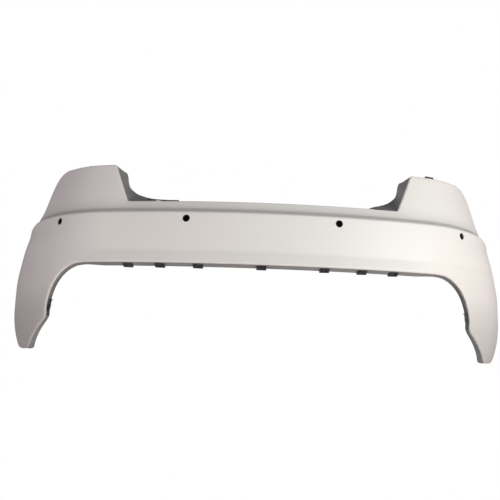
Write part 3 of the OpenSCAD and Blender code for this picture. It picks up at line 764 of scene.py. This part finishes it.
def paper_material():
    """White paper roll: plain matt white that shows no shadow to the eye."""
    made, tree = new_material("matte_white_paper")
    seen = node(tree, "ShaderNodeLightPath").outputs["Is Camera Ray"]
    paper = node(tree, "ShaderNodeBsdfDiffuse", {"Color": rgb(looks().paper)})
    glow = node(tree, "ShaderNodeEmission", {"Color": rgb(looks().paper), "Strength": 1.0})
    both = node(tree, "ShaderNodeMixShader", {0: seen, 1: paper.outputs["BSDF"], 2: glow.outputs["Emission"]})
    node(tree, "ShaderNodeOutputMaterial", {"Surface": both.outputs["Shader"]})
    return made


MAKERS = {
    "skin": primer_material, "skin_back": bare_back_flange_shade_material, "black_plastic": black_material,
    "zinc_steel": zinc_material, "black_steel": phosphate_material, "soft_rubber": rubber_material,
}
MADE = {}


def material(slot):
    """The finish of a material slot, made once."""
    if slot not in MADE:
        MADE[slot] = MAKERS[slot]()
    return MADE[slot]


def dress(obj, slot):
    """Gives an object the one finish of its slot."""
    obj.data.materials.clear()
    obj.data.materials.append(material(slot))


# ---------------------------------------------------------------- operators

SPACING, QUICK_SPACING = 9, 20


class BUMPER_OT_skin(bpy.types.Operator):
    """Models the moulded skin with its return flanges and holes"""

    bl_idname = "bumper.skin"
    bl_label = "Cover skin"

    def execute(self, context):
        spacing = SPACING
        points, loop, rings = skin_arrays(spacing * MM)
        obj, edge = self.face(points, loop)
        flange = self.flanges(obj, edge, rings)
        for slot in ("skin", "skin_back"):
            obj.data.materials.append(material(slot))
        # The flange faces take the darker second finish as painted shade, where they face down into shade; the
        # solidified back takes it as bare plastic.
        for polygon in obj.data.polygons:
            polygon.material_index = int(not flange.isdisjoint(polygon.vertices))
        modifier(obj, "SOLIDIFY", thickness=sizes().wall, offset=-1, use_even_offset=True,
                 use_quality_normals=True, material_offset=1, material_offset_rim=1)
        cut(obj, self.holes())
        dress(frame["nodes"]["cover_skin"], "skin")
        finish_piece(obj, "cover_skin_moulded", "cover", "cover_skin", 30)
        return {"FINISHED"}

    def face(self, points, loop):
        """Grid bent to the face, and the place in the rings of each of its edge points."""
        nj, ni = points.shape[:2]
        deselect()
        bpy.ops.mesh.primitive_grid_add(x_subdivisions=ni - 1, y_subdivisions=nj - 1, size=2)
        obj = bpy.context.active_object
        at = {}
        for v in obj.data.vertices:
            i, j = round((v.co.x + 1) / 2 * (ni - 1)), round((v.co.y + 1) / 2 * (nj - 1))
            v.co = points[j, i]
            at[(j, i)] = v.index
        return obj, {at[q]: k for k, q in enumerate(loop)}

    def flanges(self, obj, edge, rings):
        """Extrudes the edge of the face through the rings. Gives the points behind the rounded turn."""
        flange = set()
        bpy.ops.object.mode_set(mode="EDIT")
        bpy.ops.mesh.select_mode(type="EDGE")
        bpy.ops.mesh.select_all(action="DESELECT")
        bpy.ops.mesh.select_non_manifold()
        for number, ring in enumerate(rings):
            bpy.ops.mesh.extrude_edges_move()
            mesh = bmesh.from_edit_mesh(obj.data)
            mesh.verts.ensure_lookup_table()
            moved = {}
            for v in mesh.verts:
                if v.select:
                    old = next(e.other_vert(v) for e in v.link_edges if not e.other_vert(v).select)
                    moved[v.index] = edge[old.index]
                    v.co = ring[edge[old.index]]
            edge = moved
            if number >= ROUNDING:
                flange.update(moved)
            bmesh.update_edit_mesh(obj.data)
        bpy.ops.object.mode_set(mode="OBJECT")
        return flange

    def holes(self):
        """Cutters for the sensor, rivet and screw holes."""
        s = sizes()
        through = 0.03
        made = []
        for side, word in ((-1, "left"), (1, "right")):
            for a in (s.sensor_in, s.sensor_out):
                made.append(rod(s.sensor_hole, 0.04, skin_frame(a, s.sensor_height, side), 64))
            for node_name in ("lamp_screws_" + word, "guide_screws_" + word):
                for place in screw_places(node_name):
                    made.append(rod(s.screw_hole, through, Matrix.Translation(place)))
            for x in RIVETS:
                made.append(rod(s.rivet_hole, through, Matrix.Translation((side * x, 0, 0))))
        for mount in frame["record"]["mounts"]:
            if mount["kind"] == "threaded_hole":
                turn = Vector(mount["axis"]).to_track_quat("Z", "Y").to_matrix().to_4x4()
                made.append(rod(s.screw_hole, through, Matrix.Translation(mount["pos_m"]) @ turn))
        return made


def finish_fittings(*names):
    """Gives fittings the finish of their slots, and stands a copy with softened edges in for each."""
    slots = {p["node"]: p["material_slot"] for p in frame["record"]["subparts"]}
    for name in names:
        source = frame["nodes"][name]
        dress(source, slots[name])
        obj = merged_copy(name)
        modifier(obj, "BEVEL", width=sizes().soft_edge, segments=2, limit_method="ANGLE",
                 angle_limit=math.radians(38))
        finish_piece(obj, name + "_finished", body_of(source)[0], name, 35)
    return {"FINISHED"}


class BUMPER_OT_sill(bpy.types.Operator):
    """Finishes the strip, the push rivets and the rubber buffer of the tailgate sill"""

    bl_idname = "bumper.sill"
    bl_label = "Sill strip, rivets and buffer"

    def execute(self, context):
        return finish_fittings("sill_strip", "rivet_bodies", "rivet_pin_1", "rivet_pin_2", "rivet_pin_3",
                               "rivet_pin_4", "sill_buffer")


class BUMPER_OT_sensor_holders(bpy.types.Operator):
    """Finishes the holders behind the parking sensor holes"""

    bl_idname = "bumper.sensor_holders"
    bl_label = "Sensor holders"

    def execute(self, context):
        return finish_fittings("sensor_holder_outer_left", "sensor_holder_inner_left",
                               "sensor_holder_inner_right", "sensor_holder_outer_right")


class BUMPER_OT_brackets(bpy.types.Operator):
    """Finishes the lamp brackets, the side guides and their screws"""

    bl_idname = "bumper.brackets"
    bl_label = "Brackets and guides"

    def execute(self, context):
        return finish_fittings("lamp_bracket_left", "lamp_bracket_right", "lamp_screws_left",
                               "lamp_screws_right", "side_guide_left", "side_guide_right",
                               "guide_screws_left", "guide_screws_right")


class BUMPER_OT_clip_nuts(bpy.types.Operator):
    """Finishes the clip nuts of the wheel arches and the lower edge"""

    bl_idname = "bumper.clip_nuts"
    bl_label = "Clip nuts"

    def execute(self, context):
        return finish_fittings("arch_nuts_left", "arch_nuts_right", "valance_nuts")


class BUMPER_OT_latches(bpy.types.Operator):
    """Finishes the latches and the locating tab of the lower edge"""

    bl_idname = "bumper.latches"
    bl_label = "Latches and tab"

    def execute(self, context):
        return finish_fittings("valance_latch_left", "valance_latch_right", "locating_tab")


# Soft boxes: name, place and width in metres, power in watts and tint. All face the middle of the part.
LIGHTS = (
    ("right_near", (1.6, -1.7, -0.1), 1.0, 36, "#E6FCF8"),
    ("right_far", (3.2, -1.7, -0.6), 2.0, 39, "#FFC4C2"),
    ("left", (-2.5, -2.2, -0.5), 1.6, 30, "#FFF1EF"),
    ("low", (1.7, -1.9, -0.75), 1.2, 3, "#FFFBD0"),
    ("behind", (-0.6, 3.0, 0.5), 1.8, 40, "#FFFCF6"),
)
LIT = (0, 0.05, -0.15)


class BUMPER_OT_studio(bpy.types.Operator):
    """Adds the floor, backdrop, soft lights and camera"""

    bl_idname = "bumper.studio"
    bl_label = "Studio"

    def execute(self, context):
        scene = context.scene
        self.floor()
        self.backdrop(scene)
        for light in LIGHTS:
            self.light(scene, *light)
        self.camera(scene)
        scene.view_settings.view_transform = "Standard"
        return {"FINISHED"}

    def floor(self):
        """Wide paper floor, far enough down that the part throws no shadow into view."""
        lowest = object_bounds()[0][2]
        deselect()
        bpy.ops.mesh.primitive_plane_add(size=60, location=(0, 0, lowest - view().floor))
        floor = bpy.context.active_object
        floor.name = "floor"
        floor.data.materials.append(paper_material())
        floor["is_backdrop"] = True

    def backdrop(self, scene):
        """Plain backdrop to the eye, and a weak fill light from all round."""
        world = scene.world or bpy.data.worlds.new("studio")
        scene.world = world
        world.use_nodes = True
        tree = world.node_tree
        tree.nodes.clear()
        seen = node(tree, "ShaderNodeLightPath").outputs["Is Camera Ray"]
        fill = node(tree, "ShaderNodeBackground", {"Color": rgb(looks().fill), "Strength": view().fill})
        sky = node(tree, "ShaderNodeBackground", {"Color": rgb(looks().paper), "Strength": 1.0})
        both = node(tree, "ShaderNodeMixShader", {
            0: seen, 1: fill.outputs["Background"], 2: sky.outputs["Background"]})
        node(tree, "ShaderNodeOutputWorld", {"Surface": both.outputs["Shader"]})

    def light(self, scene, name, place, width, power, tint):
        """One soft box."""
        data = bpy.data.lights.new(name, "AREA")
        data.size = width
        data.energy = power
        data.color = rgb(tint)[:3]
        lamp = bpy.data.objects.new(name, data)
        scene.collection.objects.link(lamp)
        lamp.location = place
        aim = Vector(LIT) - Vector(place)
        lamp.rotation_euler = aim.to_track_quat("-Z", "Y").to_euler()

    def camera(self, scene):
        """Camera a little below the middle of the part, looking slightly up at it."""
        v = view()
        data = bpy.data.cameras.new("camera")
        data.sensor_width = 36
        data.lens = v.lens
        data.shift_x = v.shift_x
        data.shift_y = v.shift_y
        camera = bpy.data.objects.new("camera", data)
        scene.collection.objects.link(camera)
        back = Matrix.Rotation(-v.yaw, 3, "Z")
        forward = Vector((0, math.cos(v.pitch), math.sin(v.pitch)))
        place = back @ (Vector((0, 0, v.aim)) - v.reach * forward)
        place -= Vector((0, sizes().rivet_row, drop()))
        look = back @ forward
        right = back @ Vector((1, 0, 0))
        up = right.cross(look)
        turned_right = right * math.cos(v.roll) + up * math.sin(v.roll)
        turned_up = up * math.cos(v.roll) - right * math.sin(v.roll)
        turn = Matrix((turned_right, turned_up, -look)).transposed().to_4x4()
        camera.matrix_world = Matrix.Translation(place) @ turn
        scene.camera = camera


class BUMPER_PT_panel(bpy.types.Panel):
    """Sizes, colours and the steps of the build"""

    bl_label = "Rear bumper cover"
    bl_idname = "BUMPER_PT_panel"
    bl_space_type = "VIEW_3D"
    bl_region_type = "UI"
    bl_category = "Bumper"

    def draw(self, context):
        for group in (sizes(), looks(), view()):
            box = self.layout.box()
            for key in group.__annotations__:
                box.prop(group, key)
        for operator in OPERATORS:
            self.layout.operator(operator.bl_idname)


OPERATORS = (BUMPER_OT_skin, BUMPER_OT_sill, BUMPER_OT_sensor_holders, BUMPER_OT_brackets,
             BUMPER_OT_clip_nuts, BUMPER_OT_latches, BUMPER_OT_studio)
CLASSES = (BumperSizes, BumperLooks, BumperView) + OPERATORS + (BUMPER_PT_panel,)


def register():
    for cls in CLASSES:
        bpy.utils.register_class(cls)
    bpy.types.Scene.bumper_sizes = bpy.props.PointerProperty(type=BumperSizes)
    bpy.types.Scene.bumper_looks = bpy.props.PointerProperty(type=BumperLooks)
    bpy.types.Scene.bumper_view = bpy.props.PointerProperty(type=BumperView)


def unregister():
    del bpy.types.Scene.bumper_view
    del bpy.types.Scene.bumper_looks
    del bpy.types.Scene.bumper_sizes
    for cls in reversed(CLASSES):
        bpy.utils.unregister_class(cls)


def main():
    register()
    bpy.ops.bumper.skin()
    bpy.ops.bumper.sill()
    bpy.ops.bumper.sensor_holders()
    bpy.ops.bumper.brackets()
    bpy.ops.bumper.clip_nuts()
    bpy.ops.bumper.latches()
    bpy.ops.bumper.studio()


if __name__ == "__main__":
    main()
